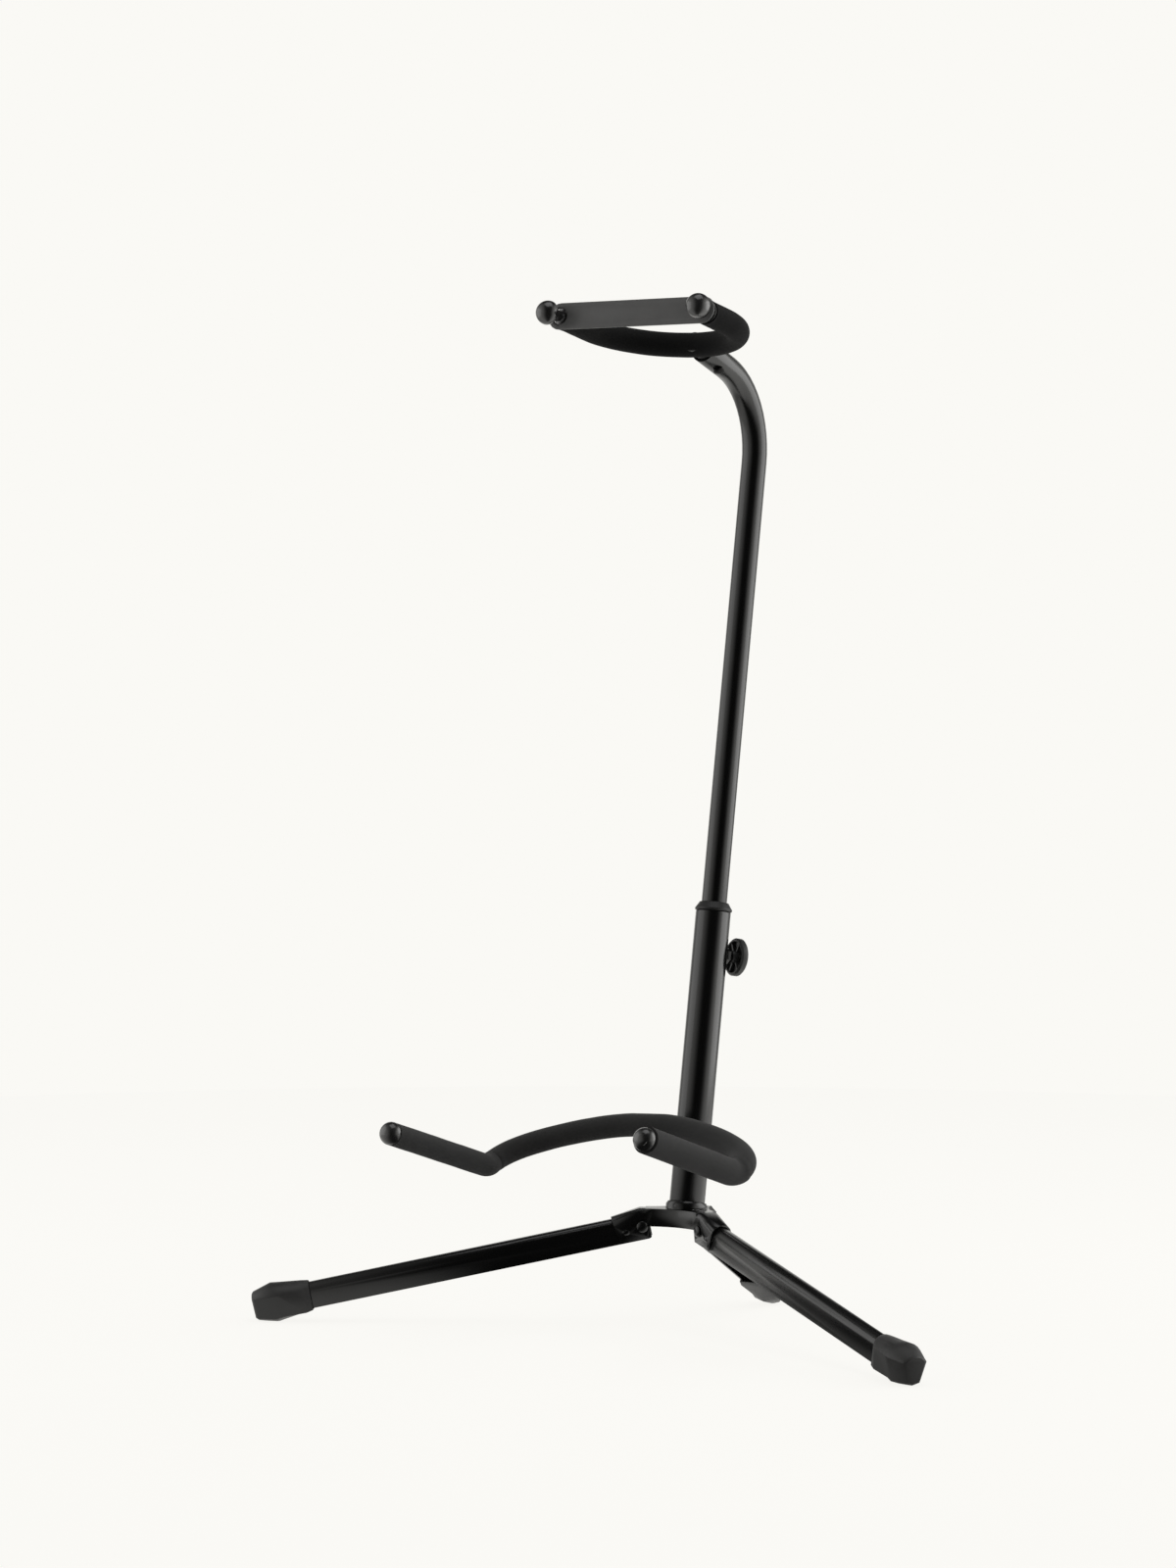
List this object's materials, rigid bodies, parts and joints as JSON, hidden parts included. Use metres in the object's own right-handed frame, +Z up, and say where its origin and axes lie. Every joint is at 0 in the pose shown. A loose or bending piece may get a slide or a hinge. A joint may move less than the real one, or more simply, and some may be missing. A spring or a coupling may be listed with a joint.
{
  "type": "guitar stand",
  "caption": "Folding stand for a guitar: channel legs on a pressed hub, leaning two-part tube with clamp knob, foam-covered cradle and a foam-covered neck yoke closed by a rubber strap",
  "frame": {"origin": "on the floor, under the middle of the bounding box", "axes": "+Z up; -Y is the front, the way the cradle's arms point; +X is to the right of someone standing in front and looking along +Y"},
  "size_m": [0.5372, 0.3576, 0.7154],
  "materials": {
    "paint": "satin black enamel over steel",
    "steel": "plain dark steel",
    "foam": "matt charcoal closed-cell foam sleeve",
    "foot_rubber": "matt dark grey rubber",
    "strap_rubber": "smooth mid-grey rubber",
    "plastic": "black moulded plastic",
    "nylon": "natural nylon"
  },
  "bodies": {
    "stand_base": {"hub": "paint", "hub_bolt": "steel", "hub_washer": "steel", "outer_tube": "paint", "tube_plug": "steel", "tube_seat_ring": "paint", "tube_bush": "plastic", "cradle_lug": "paint", "clamp_nut": "paint", "rear_rivet": "paint", "front_left_rivet": "paint", "front_right_rivet": "paint"},
    "rear_leg": {"rear_leg": "paint", "rear_foot": "foot_rubber"},
    "front_left_leg": {"front_left_leg": "paint", "front_left_foot": "foot_rubber"},
    "front_right_leg": {"front_right_leg": "paint", "front_right_foot": "foot_rubber"},
    "height_guide": {"guide_plug": "nylon"},
    "neck": {"height_tube": "paint", "neck_plug": "plastic", "neck_screw": "steel", "yoke_rod": "steel", "yoke_foam": "foam", "yoke_cap_left": "plastic", "yoke_cap_right": "plastic", "neck_strap": "strap_rubber"},
    "clamp_pad": {"clamp_pad": "nylon"},
    "clamp_knob": {"clamp_screw": "steel", "clamp_knob": "plastic"},
    "cradle": {"cradle_rod": "steel", "cradle_foam": "foam", "cradle_cap_left": "plastic", "cradle_cap_right": "plastic", "cradle_stop_left": "steel", "cradle_stop_right": "steel"}
  },
  "joints": [
    {"name": "rear_leg_fold", "type": "hinge", "parent": "stand_base", "child": "rear_leg", "pos_m": [0, 0.07648, 0.0625], "axis": [-1, 0, 0], "range_deg": [0, 60]},
    {"name": "front_left_leg_fold", "type": "hinge", "parent": "stand_base", "child": "front_left_leg", "pos_m": [-0.02641, 0.03073, 0.0694], "axis": [0.5, -0.866, 0], "range_deg": [0, 75]},
    {"name": "front_right_leg_fold", "type": "hinge", "parent": "stand_base", "child": "front_right_leg", "pos_m": [0.02641, 0.03073, 0.0694], "axis": [0.5, 0.866, 0], "range_deg": [0, 75]},
    {"name": "height_slide", "type": "slide", "parent": "stand_base", "child": "height_guide", "axis": [0, 0.1702, 0.9854], "range_m": [-0.055, 0.07]},
    {"name": "neck_swivel", "type": "hinge", "parent": "height_guide", "child": "neck", "pos_m": [0, 0.08237, 0.28884], "axis": [0, 0.1702, 0.9854], "continuous": true},
    {"name": "clamp_travel", "type": "slide", "parent": "stand_base", "child": "clamp_pad", "axis": [0.5, 0.8534, -0.1474], "range_m": [0, 0.002]},
    {"name": "clamp_turn", "type": "hinge", "parent": "clamp_pad", "child": "clamp_knob", "pos_m": [0.0096, 0.0937, 0.25674], "axis": [0.5, 0.8534, -0.1474], "range_deg": [0, 720]},
    {"name": "cradle_fold", "type": "hinge", "parent": "stand_base", "child": "cradle", "pos_m": [0, -0.00533, 0.14477], "axis": [-0.9995, 0, -0.0332], "range_deg": [0, 85]}
  ],
  "couplings": [
    {"joint": "clamp_travel", "follows": "clamp_turn", "m_per_rad": 0.00015915}
  ]
}
